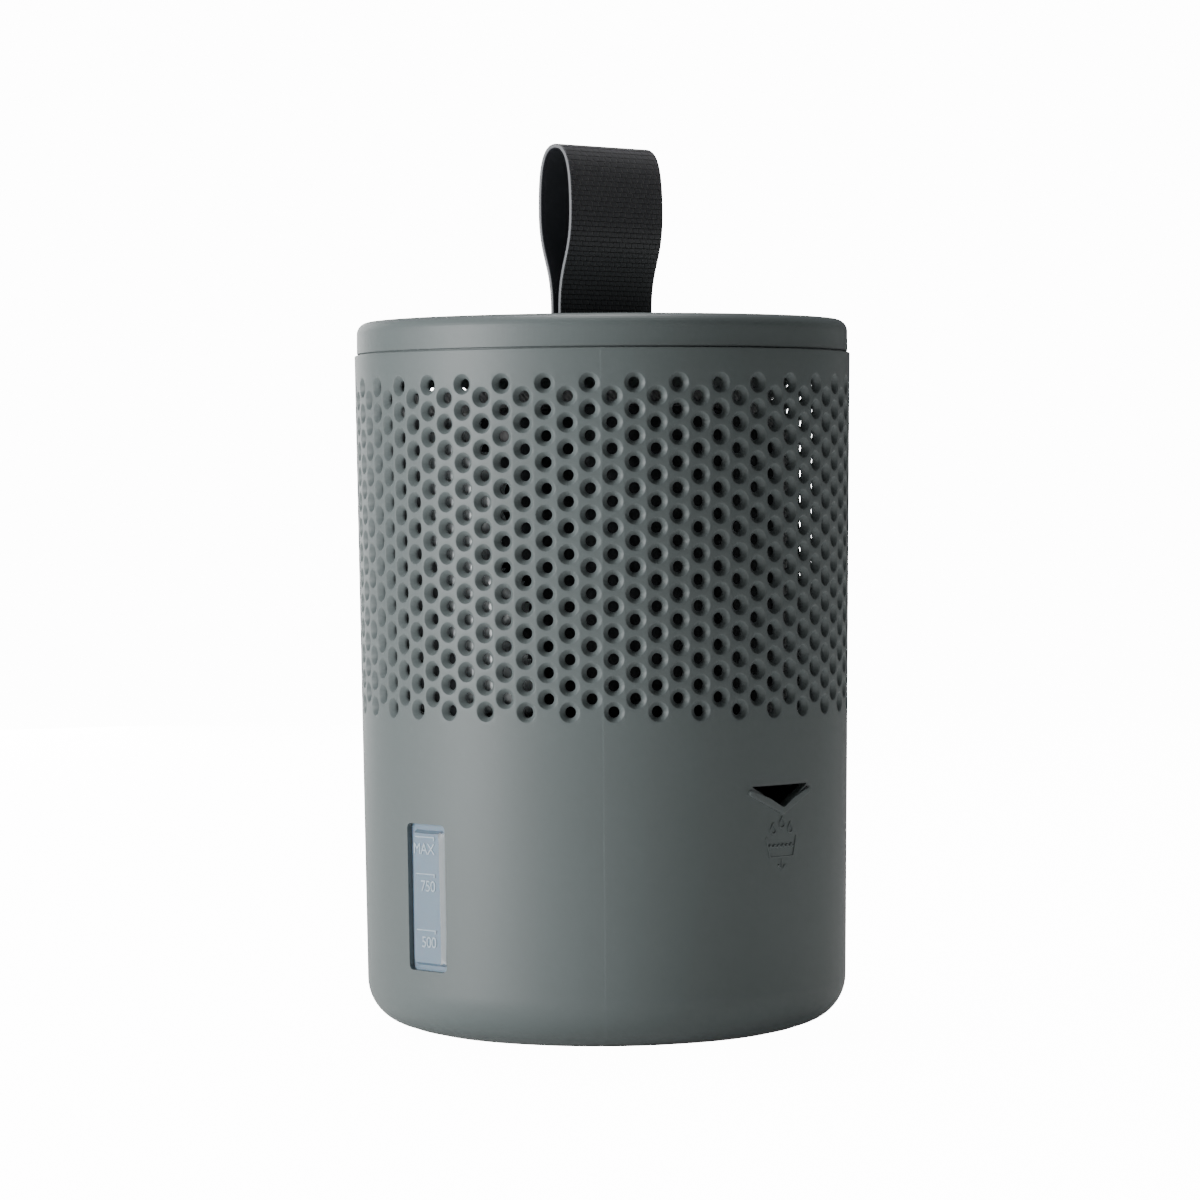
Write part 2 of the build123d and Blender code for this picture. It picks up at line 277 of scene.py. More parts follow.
low_column = copy_piece(cell, (0, 0, 0))
apply_modifier(
    low_column, "ARRAY", count=rows, use_relative_offset=False, use_constant_offset=True,
    constant_offset_displace=(0, row_pitch, 0),
)
high_column = copy_piece(low_column, (cell_width, row_pitch / 2, 0))
column_pair = join_pieces(
    [
        low_column,
        high_column,
        copy_piece(half_cell, (0, (rows - 0.25) * row_pitch, 0)),
        copy_piece(half_cell, (cell_width, -0.25 * row_pitch, 0)),
    ],
    "column_pair",
)
apply_modifier(
    column_pair, "ARRAY", count=columns // 2, use_relative_offset=False, use_constant_offset=True,
    constant_offset_displace=(2 * cell_width, 0, 0),
)
band_low = top_row - rows * row_pitch
band_high = top_row + row_pitch / 2
for spare in (cell, half_cell):
    bpy.data.objects.remove(spare)

# Wrap the flat band round the axis; the low columns start half a cell on from +X
for vertex in column_pair.data.vertices:
    flat = vertex.co.copy()
    turn = (flat.x / cell_width - 0.5) * 2 * math.pi / columns
    height = flat.y + row_pitch / 2 + band_low
    radius = wall_radius(height) + flat.z
    vertex.co = (radius * math.cos(turn), radius * math.sin(turn), height)
band = column_pair

# Shell below and above the band, spun from half of its section
arc_step = base_radius - corner_radius
corner_level = base_radius - arc_step * math.sin(math.radians(corner_turn))
corner_centre = wall_radius(corner_level) - corner_radius
base_centre = corner_centre - arc_step * math.cos(math.radians(corner_turn))


def shell_outline(inset):
    """The shell's section from the foot up to the band, drawn this far inside its outer face."""
    points = []
    for k in range(5):
        angle = math.radians(-90 + (90 - corner_turn) * k / 4)
        reach = base_radius - inset
        points.append((base_centre + reach * math.cos(angle), base_radius + reach * math.sin(angle)))
    for k in range(1, 11):
        angle = math.radians(-corner_turn * (1 - k / 10))
        reach = corner_radius - inset
        points.append((corner_centre + reach * math.cos(angle), corner_level + reach * math.sin(angle)))
    for height in (20 * mm, 45 * mm, 68 * mm, 80 * mm, band_low):
        points.append((wall_radius(height) - inset, height))
    return points


def spin_outline(points, name):
    """Spin a polyline in the XZ plane round the axis into a mesh object."""
    start_piece()
    bpy.ops.mesh.primitive_circle_add(vertices=3, radius=1, fill_type="NOTHING")
    piece = bpy.context.object
    piece.name = name
    piece.data.clear_geometry()
    piece.data.from_pydata([(r, 0, z) for r, z in points], [(i, i + 1) for i in range(len(points) - 1)], [])
    bpy.ops.object.mode_set(mode="EDIT")
    bpy.ops.mesh.select_all(action="SELECT")
    bpy.ops.mesh.spin(steps=steps_round, angle=2 * math.pi, center=(0, 0, 0), axis=(0, 0, 1))
    bpy.ops.object.mode_set(mode="OBJECT")
    merge_all(piece)
    return piece


foot_inner = base_centre - foot_width
foot = [(0, foot_recess), (foot_inner - 0.6 * mm, foot_recess), (foot_inner, foot_recess - 0.3 * mm)]
foot += [(foot_inner, 0.3 * mm), (foot_inner + 0.3 * mm, 0)]
outside = foot + shell_outline(0)
inside = [(0, wall)] + shell_outline(wall)
base = spin_outline(outside + inside[::-1], "base")
edge = 0.35 * mm
rim = [
    (wall_radius(band_high), band_high),
    (rim_radius, body_height - edge),
    (rim_radius - edge * 0.3, body_height - edge * 0.3),
    (rim_radius - edge, body_height),
    (rim_radius - wall + edge, body_height),
    (rim_radius - wall, body_height - edge),
    (wall_radius(band_high) - wall, band_high),
]
collar = spin_outline(rim, "collar")


def cut(piece, tool, operation="DIFFERENCE"):
    """Boolean a closed tool with a closed piece, then drop the tool."""
    apply_modifier(piece, "BOOLEAN", operation=operation, object=tool, solver="MANIFOLD")
    bpy.data.objects.remove(tool)


def rounded_block(name, width, height, depth, corner, segments=4):
    """A block on the origin, width along X, depth along Y, height along Z, with its Y edges rounded."""
    start_piece()
    bpy.ops.mesh.primitive_cube_add(size=1)
    block = bpy.context.object
    block.name = name
    bpy.ops.transform.resize(value=(width, depth, height))
    bpy.ops.object.transform_apply(location=False, rotation=False, scale=True)
    bpy.ops.object.mode_set(mode="EDIT")
    bpy.ops.mesh.select_mode(type="EDGE")
    bpy.ops.mesh.select_all(action="DESELECT")
    bpy.ops.object.mode_set(mode="OBJECT")
    for side in block.data.edges:
        ends = [block.data.vertices[i].co for i in side.vertices]
        side.select = abs(ends[0].y - ends[1].y) > depth / 2
    bpy.ops.object.mode_set(mode="EDIT")
    bpy.ops.mesh.bevel(offset=corner, segments=segments, affect="EDGES")
    bpy.ops.object.mode_set(mode="OBJECT")
    return block


# Level window cut-out
window_turn = -91
window_width = 16.4 * mm
window_height = 43 * mm
window_centre = 22.3 * mm + window_height / 2
cutter = rounded_block("window_cutter", window_width, window_height, 20 * mm, 1.5 * mm)
cutter.data.transform(Matrix.Translation((0, -rim_radius, window_centre)))
cutter.data.transform(Matrix.Rotation(math.radians(window_turn + 90), 4, "Z"))
cut(base, cutter)

# Foot notches, one on each parting line
for quarter in range(4):
    start_piece()
    bpy.ops.mesh.primitive_cylinder_add(vertices=48, radius=2.7 * mm, depth=20 * mm)
    notch = bpy.context.object
    notch.data.transform(Matrix.Rotation(math.radians(90), 4, "Y"))
    notch.data.transform(Matrix.Translation((base_centre - foot_width / 2, 0, -1.7 * mm)))
    notch.data.transform(Matrix.Rotation(math.radians(45 + 90 * quarter), 4, "Z"))
    cut(base, notch)

# Pour lip: a V of even width with rounded ends and point, raised from the wall under the opening
spout_width = 23.8 * mm
spout_depth = 6.6 * mm
spout_top = 76.1 * mm
lip_band = 1.75 * mm
lip_height = 0.9 * mm
lip_root = 0.5 * wall + 1.2 * mm
lip_end_drop = 0.9 * mm
lip_overhang = 0.6 * mm
slope = math.atan2(spout_depth, spout_width / 2)
down = lip_band / math.cos(slope)
end_y = spout_width / 2 + lip_overhang
end_z = -lip_end_drop - lip_band * 0.8
corners = [
    (-end_y, -lip_end_drop),
    (-end_y - lip_overhang, end_z),
    (0, -spout_depth - down),
    (end_y + lip_overhang, end_z),
    (end_y, -lip_end_drop),
    (0, -spout_depth + 1.2 * mm),
]
start_piece()
bpy.ops.mesh.primitive_circle_add(vertices=6, radius=1, fill_type="NGON")
lip = bpy.context.object
lip_floor = wall_radius(spout_top) - lip_root
for vertex, (y, z) in zip(lip.data.vertices, corners):
    vertex.co = (lip_floor, y, spout_top + z)
bpy.ops.object.mode_set(mode="EDIT")
bpy.ops.mesh.select_all(action="SELECT")
bpy.ops.mesh.bevel(offset=0.65 * mm, segments=4, affect="VERTICES")
bpy.ops.mesh.select_all(action="SELECT")
bpy.ops.mesh.extrude_region_move(TRANSFORM_OT_translate={"value": (lip_height + lip_root, 0, 0)})
bpy.ops.mesh.bevel(offset=0.3 * mm, segments=3, affect="EDGES")
bpy.ops.object.mode_set(mode="OBJECT")
for vertex in lip.data.vertices:
    vertex.co.x -= vertex.co.y**2 / (2 * wall_radius(spout_top)) + (spout_top - vertex.co.z) * draft
merge_all(lip)
cut(base, lip, "UNION")

start_piece()
bpy.ops.mesh.primitive_circle_add(vertices=3, radius=1, fill_type="NGON")
opening = bpy.context.object
opening_corners = [(-spout_width / 2, 0), (0, -spout_depth), (spout_width / 2, 0)]
for vertex, (y, z) in zip(opening.data.vertices, opening_corners):
    vertex.co = (wall_radius(spout_top) - 8 * mm, y, spout_top + z)
bpy.ops.object.mode_set(mode="EDIT")
bpy.ops.mesh.select_all(action="SELECT")
bpy.ops.mesh.bevel(offset=0.7 * mm, segments=3, affect="VERTICES")
bpy.ops.mesh.select_all(action="SELECT")
bpy.ops.mesh.extrude_region_move(TRANSFORM_OT_translate={"value": (20 * mm, 0, 0)})
bpy.ops.object.mode_set(mode="OBJECT")
merge_all(opening)
cut(base, opening)

# Open the base's top edge and close the whole shell
take_vertices(base, lambda co: co.z > band_low - 0.01 * mm)
bpy.ops.mesh.delete(type="ONLY_FACE")
bpy.ops.object.mode_set(mode="OBJECT")
housing = join_pieces([base, band, collar], "canister_housing")
merge_all(housing, 0.02 * mm)
bpy.ops.object.select_all(action="DESELECT")
housing.select_set(True)
bpy.context.view_layer.objects.active = housing
bpy.ops.object.shade_smooth_by_angle(angle=math.radians(50))
apply_modifier(housing, "WEIGHTED_NORMAL", mode="FACE_AREA", weight=50, keep_sharp=True)

# Polypropylene moulded against a fine spark-eroded tool: satin, faintly pebbled, with slight flow marks
polypropylene, tree, shader = new_material("grey_green_polypropylene")
place = add_node(tree, "ShaderNodeTexCoord")
grain = add_node(
    tree, "ShaderNodeTexNoise", inputs={"Scale": 1 / (0.5 * mm), "Detail": 3, "Roughness": 0.6},
    links=[("Vector", place, "Object")],
)
flow = add_node(
    tree, "ShaderNodeTexNoise", inputs={"Scale": 1 / (45 * mm), "Detail": 2, "Roughness": 0.5},
    links=[("Vector", place, "Object")],
)
tint = add_node(
    tree, "ShaderNodeMix", {"data_type": "RGBA"}, {"A": linear("#656D6D"), "B": linear("#697273")},
    [("Factor", flow, "Fac")],
)
tree.links.new(tint.outputs["Result"], shader.inputs["Base Color"])
gloss = add_node(
    tree, "ShaderNodeMapRange", inputs={"To Min": 0.42, "To Max": 0.54}, links=[("Value", grain, "Fac")]
)
tree.links.new(gloss.outputs["Result"], shader.inputs["Roughness"])
bump = add_node(
    tree, "ShaderNodeBump", inputs={"Strength": 0.25, "Distance": 0.04 * mm},
    links=[("Height", grain, "Fac")],
)
tree.links.new(bump.outputs["Normal"], shader.inputs["Normal"])
shader.inputs["IOR"].default_value = 1.49

# The same plastic with a faint step where the side cores met, at each 45 degrees between the axes
core_line = 0.35 * mm
cored = polypropylene.copy()
cored.name = "cored_polypropylene"
tree = cored.node_tree
place = tree.nodes["Texture Coordinate"]
split = add_node(tree, "ShaderNodeSeparateXYZ", links=[("Vector", place, "Object")])
across = add_node(tree, "ShaderNodeMath", {"operation": "ABSOLUTE"}, links=[(0, split, "X")])
along = add_node(tree, "ShaderNodeMath", {"operation": "ABSOLUTE"}, links=[(0, split, "Y")])
apart = add_node(
    tree, "ShaderNodeMath", {"operation": "SUBTRACT"},
    links=[(0, across, "Value"), (1, along, "Value")],
)
ridge = add_node(
    tree, "ShaderNodeMapRange", inputs={"From Min": -core_line, "From Max": core_line},
    links=[("Value", apart, "Value")],
)
step = add_node(
    tree, "ShaderNodeBump", inputs={"Strength": 0.5, "Distance": 0.09 * mm},
    links=[("Height", ridge, "Result"), ("Normal", tree.nodes["Bump"], "Normal")],
)
tree.links.new(step.outputs["Normal"], tree.nodes["Principled BSDF"].inputs["Normal"])
housing.data.materials.clear()
housing.data.materials.append(cored)
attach(housing, "canister")
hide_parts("housing")

# Level window ----------------------------------------------------------------------------------
# A separate moulding in natural, milky polypropylene, welded into the cut-out to let the brine show.
# The raised marks are moulded with it in the same plastic; their paler colour is a painted highlight, so
# that they read.
milky, tree, shader = new_material("natural_milky_polypropylene")
shader.inputs["Base Color"].default_value = linear("#7C90A2")
shader.inputs["Roughness"].default_value = 0.42
shader.inputs["IOR"].default_value = 1.49
shader.inputs["Subsurface Weight"].default_value = 0.25
shader.inputs["Subsurface Scale"].default_value = 1.5 * mm
shader.inputs["Coat Weight"].default_value = 0.3
# The marks' paler colour is a painted highlight standing in for the glints on their raised strokes
painted_highlight_marks, tree, shader = new_material("raised_milky_polypropylene_painted_highlight")
shader.inputs["Base Color"].default_value = linear("#B9C8D3")
shader.inputs["Roughness"].default_value = 0.35
# A paler copy of the milky plastic, used only as a painted highlight on the plate's bevel
painted_bevel_highlight, tree, shader = new_material("painted_highlight_milky_polypropylene")
shader.inputs["Base Color"].default_value = linear("#EEF4F7")
shader.inputs["Roughness"].default_value = 0.3
window_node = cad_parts["level_window"]
window_node.data.materials.clear()
window_node.data.materials.append(milky)
window_node.data.materials.append(painted_bevel_highlight)

# The plate's bevel nearest the spout is painted pale: a highlight that is drawn on, not lit
bevel_azimuth = math.radians(-36)
bevel_facing = Vector((math.cos(bevel_azimuth), math.sin(bevel_azimuth), 0))
bevel_depth = 1.7 * mm
for face in window_node.data.polygons:
    near_surface = face.center.xy.length > wall_radius(face.center.z) - bevel_depth
    if near_surface and face.normal.dot(bevel_facing) > 0.93:
        face.material_index = 1


def wrap(piece, facing, lift):
    """Lay a piece drawn in the XZ plane, front towards -Y, onto the drafted wall at this facing angle."""
    for vertex in piece.data.vertices:
        radius = wall_radius(vertex.co.z)
        turn = math.radians(facing) + vertex.co.x / radius
        reach = radius + lift - vertex.co.y
        vertex.co = (reach * math.cos(turn), reach * math.sin(turn), vertex.co.z)


def raised_lines(paths, radius, name):
    """Round-topped strokes along polylines given as (x, z) in millimetres, drawn in the XZ plane."""
    start_piece()
    bpy.ops.mesh.primitive_circle_add(vertices=3, radius=1, fill_type="NOTHING")
    strokes = bpy.context.object
    strokes.name = name
    points, sides = [], []
    for path in paths:
        sides += [(len(points) + i, len(points) + i + 1) for i in range(len(path) - 1)]
        points += [(x * mm, 0, z * mm) for x, z in path]
    strokes.data.clear_geometry()
    strokes.data.from_pydata(points, sides, [])
    bpy.ops.object.convert(target="CURVE")
    strokes = bpy.context.object
    strokes.data.bevel_depth = radius
    strokes.data.bevel_resolution = 2
    strokes.data.use_fill_caps = True
    bpy.ops.object.convert(target="MESH")
    return bpy.context.object


def arc(x, z, radius, start, end, steps=8):
    """Points along an arc, in millimetres and degrees."""
    turns = [math.radians(start + (end - start) * k / steps) for k in range(steps + 1)]
    return [(x + radius * math.cos(t), z + radius * math.sin(t)) for t in turns]


marks = []
text_right = 4.1 * mm
text_drop = 5.0
for level, text in ((61.5, "MAX"), (50.7, "750"), (34.3, "500")):
    start_piece()
    bpy.ops.object.text_add(location=(0, 0, 0), rotation=(math.radians(90), 0, 0))
    numeral = bpy.context.object
    numeral.data.body = text
    numeral.data.size = 4.6 * mm
    numeral.data.space_character = 0.92
    numeral.data.offset = -0.04 * mm
    numeral.data.extrude = 0.16 * mm
    numeral.data.bevel_depth = 0.05 * mm
    numeral.data.resolution_u = 4
    bpy.ops.object.convert(target="MESH")
    numeral = bpy.context.object
    bpy.ops.object.transform_apply(location=True, rotation=True, scale=True)
    right = max(vertex.co.x for vertex in numeral.data.vertices)
    numeral.data.transform(Matrix.Translation((text_right - right, 0, (level - text_drop) * mm)))
    marks.append(numeral)
    marks.append(raised_lines([[(-4.4, level), (4.0, level)]], 0.22 * mm, "tick"))
    marks.append(raised_lines([[(3.8, level + 0.1), (3.8, level - 0.9)]], 0.32 * mm, "tick_end"))
scale_marks = join_pieces(marks, "level_marks")
wrap(scale_marks, window_turn, -0.25 * mm)
bpy.ops.object.shade_smooth_by_angle(angle=math.radians(40))
scale_marks.data.materials.clear()
scale_marks.data.materials.append(painted_highlight_marks)
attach(scale_marks, "canister")

# Pouring pictogram ------------------------------------------------------------------------------
# Raised strokes moulded with the housing under the spout: three drops over a tray of water, and an arrow.
# It is a plain drawing of emptying the reservoir, cut into the tool with a ball cutter.
drops = []
for x, z in ((-3.6, 63.1), (0, 64.7), (3.6, 63.1)):
    drops.append([(x, z + 2.1)] + arc(x, z, 1.05, 150, 390, 10) + [(x, z + 2.1)])
tray = [[(-6.4, 61.0), (-4.9, 55.2), (4.9, 55.2), (6.4, 61.0)]]
wave = [[(-5.2 + 0.4 * k, 58.4 + 0.45 * math.sin(1.45 * k)) for k in range(27)]]
arrow = [[(0, 54.4), (0, 51.4)], [(-1.5, 52.9), (0, 51.4), (1.5, 52.9)]]
pictogram = raised_lines(drops + tray + wave + arrow, 0.3 * mm, "pouring_pictogram")
wrap(pictogram, 0, 0)
bpy.ops.object.shade_smooth()
pictogram.data.materials.clear()
pictogram.data.materials.append(polypropylene)
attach(pictogram, "canister")

# Drip grate -------------------------------------------------------------------------------------
# A slotted tray in white polypropylene, resting loose on the housing's eight ribs.
# The wall and the pouch all but hide it, so its CAD shape serves.
white_pp, tree, shader = new_material("white_polypropylene")
shader.inputs["Base Color"].default_value = linear("#C9CCCC")
shader.inputs["Roughness"].default_value = 0.5
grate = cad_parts["drip_grate"]
grate.data.materials.clear()
grate.data.materials.append(white_pp)

# Refill pouch -----------------------------------------------------------------------------------
# A pillow of thin clear film in front and white non-woven membrane behind, heat-sealed round its edge.
# It leans on the perforated wall, where its creased film shows close behind some of the holes.
# This one mesh is both sheets; the heat-sealed rim is a second mesh, which stands for the membrane's node.
pouch_turn = Matrix.Rotation(math.radians(34), 4, "Z")
pouch_facing = pouch_turn @ Vector((0, -1, 0))
seam_reach = 26.35 * mm
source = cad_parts["absorbent_granules"]
pouch = bpy.data.objects.new("refill_pouch", source.data.copy())
bpy.context.scene.collection.objects.link(pouch)
start_piece()
merge_all(pouch, 0.05 * mm)
apply_modifier(pouch, "REMESH", mode="VOXEL", voxel_size=5 * mm)
before = [vertex.co.copy() for vertex in pouch.data.vertices]
cloth = pouch.modifiers.new("cloth", "CLOTH")
cloth.settings.use_pressure = True
cloth.settings.uniform_pressure_force = 4
cloth.settings.effector_weights.gravity = 0
for step in range(1, 21):
    bpy.context.scene.frame_set(step)
bpy.ops.object.modifier_apply(modifier=cloth.name)
bpy.context.scene.frame_set(1)
swell = 4 * mm
for vertex, rest in zip(pouch.data.vertices, before):
    moved = vertex.co - rest
    if moved.length > swell:
        vertex.co = rest + moved.normalized() * swell
apply_modifier(pouch, "SUBSURF", levels=2, render_levels=2)


def smooth_step(value):
    """0 below 0, 1 above 1, eased between."""
    value = min(max(value, 0.0), 1.0)
    return value * value * (3 - 2 * value)


# Creases: the film touches the wall along a slanting strip and draws back in folds on both sides of it
chamber_gap = 0.5 * mm
pouch_middle = 140 * mm
dark_from = 4 * mm
drawn_back = set()
for vertex in pouch.data.vertices:
    x, y, z = vertex.co
    radius = math.hypot(x, y)
    chamber = wall_radius(z) - wall
    along = chamber * (math.atan2(y, x) + math.radians(80))
    strip = abs(along + 0.2 * (z - pouch_middle)) / mm
    fold = noise.noise(Vector((along / (11 * mm), z / (17 * mm), 4.2)))
    crease = noise.noise(Vector((along / (4 * mm), z / (6 * mm), 1.7)))
    fine = noise.noise(Vector((along / (1.8 * mm), z / (2.4 * mm), 8.3)))
    recess = 9 * mm * smooth_step((strip - 8) / 9 + 1.1 * fold - 0.1)
    recess += 12 * mm * smooth_step((along - 14 * mm) / (22 * mm))
    if recess > dark_from:
        drawn_back.add(vertex.index)
    limit = chamber - chamber_gap - recess - 0.5 * mm * (1 + crease) - 0.12 * mm * (1 + fine)
    forward = vertex.co.dot(pouch_facing) - seam_reach
    facing = smooth_step(forward / (12 * mm))
    if radius > limit:
        shift = 1 + (limit / radius - 1) * facing
        shift = min(shift, (chamber - chamber_gap) / radius)
        vertex.co = (x * shift, y * shift, z)
    vertex.co += pouch_facing * 0.8 * mm * (crease - 1) * (1 - facing)

# The film is pale where it lies on the wall. Where it draws back it is made near black: painted shade,
# a chosen colour that makes those holes look dark and stands for no known layer of the pouch.
film, tree, shader = new_material("clear_pouch_film")
shader.inputs["Base Color"].default_value = linear("#D5DADC")
shader.inputs["Roughness"].default_value = 0.3
shader.inputs["Coat Weight"].default_value = 0.6
shader.inputs["Coat Roughness"].default_value = 0.12
shaded_film, tree, shader = new_material("painted_shade_pouch_film")
shader.inputs["Base Color"].default_value = linear("#33373A")
shader.inputs["Roughness"].default_value = 0.35
membrane, tree, shader = new_material("white_nonwoven_membrane")
shader.inputs["Base Color"].default_value = linear("#E4E5E3")
shader.inputs["Roughness"].default_value = 0.85
place = add_node(tree, "ShaderNodeTexCoord")
fibres = add_node(
    tree, "ShaderNodeTexNoise", inputs={"Scale": 1 / (0.8 * mm), "Detail": 4, "Distortion": 1.5},
    links=[("Vector", place, "Object")],
)
bump = add_node(
    tree, "ShaderNodeBump", inputs={"Strength": 0.4, "Distance": 0.08 * mm},
    links=[("Height", fibres, "Fac")],
)
tree.links.new(bump.outputs["Normal"], shader.inputs["Normal"])
pouch.data.materials.clear()
for material in (film, membrane, shaded_film):
    pouch.data.materials.append(material)
for face in pouch.data.polygons:
    face.material_index = 0 if face.center.dot(pouch_facing) > seam_reach else 1
    # Film faces drawn back from the wall take the painted shade
    if face.material_index == 0 and drawn_back.issuperset(face.vertices):
        face.material_index = 2
    face.use_smooth = True

# The heat-sealed rim, a flat frame of both layers with a crimped face
seal_width = 128 * mm
seal_height = 103.8 * mm
seal_thickness = 0.8 * mm
seal_middle = 140.4 * mm
seam = rounded_block("pouch_seam", seal_width, seal_height, seal_thickness, 19 * mm, 10)
inner = rounded_block("pouch_seam_inner", 112 * mm, 88 * mm, 4 * mm, 11 * mm, 10)
cut(seam, inner)
seam.data.transform(pouch_turn @ Matrix.Translation((0, -seam_reach, seal_middle)))
crimped, tree, shader = new_material("crimped_heat_seal")
shader.inputs["Base Color"].default_value = linear("#9EA2A3")
shader.inputs["Roughness"].default_value = 0.45
place = add_node(tree, "ShaderNodeTexCoord")
crimp = add_node(
    tree, "ShaderNodeTexWave", {"bands_direction": "DIAGONAL"}, {"Scale": 0.31 / (1.0 * mm)},
    [("Vector", place, "Object")],
)
bump = add_node(
    tree, "ShaderNodeBump", inputs={"Strength": 0.6, "Distance": 0.15 * mm},
    links=[("Height", crimp, "Fac")],
)
tree.links.new(bump.outputs["Normal"], shader.inputs["Normal"])
seam.data.materials.clear()
seam.data.materials.append(crimped)
for piece in (pouch, seam):
    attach(piece, "canister")
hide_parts("pouch_film")
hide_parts("pouch_membrane")

# Absorbent granules -----------------------------------------------------------------------------
# Loose white calcium chloride prills, one to three millimetres across, that fill the pouch.
# Here they are one lumpy mass inside the film, at half the size of the CAD solid each way.
granules = bpy.data.objects.new("granule_fill", source.data.copy())
bpy.context.scene.collection.objects.link(granules)
start_piece()
merge_all(granules, 0.05 * mm)
apply_modifier(granules, "REMESH", mode="VOXEL", voxel_size=4 * mm)
granule_scale = 0.5
middle = pouch_facing * seam_reach + Vector((0, 0, 138 * mm))
for vertex in granules.data.vertices:
    lump = noise.noise(vertex.co / (5 * mm))
    vertex.co = middle + (vertex.co - middle) * (granule_scale + 0.03 * lump)
salt, tree, shader = new_material("calcium_chloride_prills")
shader.inputs["Base Color"].default_value = linear("#E8E8E4")
shader.inputs["Roughness"].default_value = 0.7
place = add_node(tree, "ShaderNodeTexCoord")
prills = add_node(
    tree, "ShaderNodeTexVoronoi", inputs={"Scale": 1 / (2 * mm)}, links=[("Vector", place, "Object")]
)
bump = add_node(
    tree, "ShaderNodeBump", {"invert": True}, {"Strength": 0.8, "Distance": 1.0 * mm},
    [("Height", prills, "Distance")],
)
tree.links.new(bump.outputs["Normal"], shader.inputs["Normal"])
granules.data.materials.clear()
granules.data.materials.append(salt)
for face in granules.data.polygons:
    face.use_smooth = True
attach(granules, "canister")
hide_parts("absorbent_granules")

# Lid --------------------------------------------------------------------------------------------
# A shallow cap in the housing's polypropylene, moulded with a skirt that pushes into the rim.
# Its top edge is well rounded, and a slot across the middle takes the strap.
lid_height = 10 * mm
lid_radius = rim_radius - 0.7 * mm
lid_top = body_height + lid_height
lid_under = lid_top - 2.4 * mm
edge_radius = 3.6 * mm
seam_gap = 0.35 * mm
skirt_low = body_height - 6 * mm
skirt_radius = wall_radius(skirt_low) - wall - 0.35 * mm
skirt_inner = skirt_radius - 1.8 * mm
lid_inner = lid_radius - 2 * mm
section = [(0, lid_top)] + [(lid_radius * k / 6 - 0.5 * mm, lid_top) for k in range(1, 6)]
edge_centre = lid_radius - edge_radius
edge_level = lid_top - edge_radius
for k in range(9):
    angle = math.radians(90 - 90 * k / 8)
    edge_point = (edge_centre + edge_radius * math.cos(angle), edge_level + edge_radius * math.sin(angle))
    section.append(edge_point)
section += [
    (lid_radius, body_height + seam_gap + 0.2 * mm),
    (lid_radius - 0.2 * mm, body_height + seam_gap),
    (lid_radius - 0.8 * mm, body_height + seam_gap),
    (lid_radius - 0.8 * mm, body_height),
    (skirt_radius, body_height),
    (skirt_radius, skirt_low + 0.6 * mm),
    (skirt_radius - 0.4 * mm, skirt_low),
    (skirt_inner, skirt_low),
    (skirt_inner, body_height + 1.8 * mm),
    (lid_inner, body_height + 1.8 * mm),
    (lid_inner, lid_under),
    (0, lid_under),
]
lid = spin_outline(section, "lid_cap")
slot_half = 2.6 * mm
slot = rounded_block("strap_slot", 2 * slot_half, 39.8 * mm, 12 * mm, 0.6 * mm)
slot.data.transform(Matrix.Rotation(math.radians(90), 4, "X"))
slot.data.transform(Matrix.Translation((0, 0, lid_top - 2 * mm)))
cut(lid, slot)
strap_thickness = 1.3 * mm
screw_points = [(side * (slot_half + 9 * mm), row * 12 * mm) for side in (-1, 1) for row in (-1, 1)]
for x, y in screw_points:
    for radius, low, high, operation in (
        (3.0 * mm, lid_under - strap_thickness, lid_under + 0.6 * mm, "UNION"),
        (1.25 * mm, lid_under - 2 * strap_thickness, lid_under - strap_thickness + 2.7 * mm, "DIFFERENCE"),
    ):
        start_piece()
        bpy.ops.mesh.primitive_cylinder_add(vertices=40, radius=radius, depth=high - low)
        post = bpy.context.object
        post.data.transform(Matrix.Translation((x, y, (low + high) / 2)))
        cut(lid, post, operation)
merge_all(lid)
bpy.ops.object.shade_smooth_by_angle(angle=math.radians(30))
lid.data.materials.clear()
lid.data.materials.append(polypropylene)
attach(lid, "lid")
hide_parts("lid")

# Strap clamp plate and screws -------------------------------------------------------------------
# Under the lid a moulded plate grips the strap's two tails, held by four self-tapping steel screws.
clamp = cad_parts["strap_clamp_plate"]
clamp.data.materials.clear()
clamp.data.materials.append(polypropylene)
zinc, tree, shader = new_material("zinc_plated_steel")
shader.inputs["Base Color"].default_value = linear("#B9BCC0")
shader.inputs["Metallic"].default_value = 1.0
shader.inputs["Roughness"].default_value = 0.35
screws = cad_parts["clamp_screws"]
screws.data.materials.clear()
screws.data.materials.append(zinc)

# Strap ------------------------------------------------------------------------------------------
# One soft rubber band, 39 mm wide, folded into a teardrop above the lid. Its tails pass down the slot.
# Its outer face is embossed with a weave, its back is smooth, and its edges are rounded and paler.
strap_width = 39 * mm
tail_spacing = 3.2 * mm
tail_bend = 1.0 * mm
tail_length = 17 * mm
tail_level = lid_under - strap_thickness / 2
strap_rise = 53.1 * mm
loop_half = 6.65 * mm
loop_root = lid_top + tail_spacing / 2 + strap_thickness / 2 + 0.35 * mm
loop_top = lid_top + strap_rise - strap_thickness / 2
crown_height = 18.9 * mm
neck_stiffness = 0.5
crown_fullness = 0.64
crown_flatness = 0.78
loop_widest = loop_top - crown_height
neck = neck_stiffness * (loop_widest - loop_root)
crown = crown_fullness * crown_height


def bezier(points, steps):
    """Points along a cubic Bezier, without its first point."""
    (ax, az), (bx, bz), (cx, cz), (dx, dz) = points
    curve = []
    for k in range(1, steps + 1):
        t = k / steps
        weights = ((1 - t) ** 3, 3 * t * (1 - t) ** 2, 3 * t * t * (1 - t), t**3)
        curve.append(
            (
                weights[0] * ax + weights[1] * bx + weights[2] * cx + weights[3] * dx,
                weights[0] * az + weights[1] * bz + weights[2] * cz + weights[3] * dz,
            )
        )
    return curve


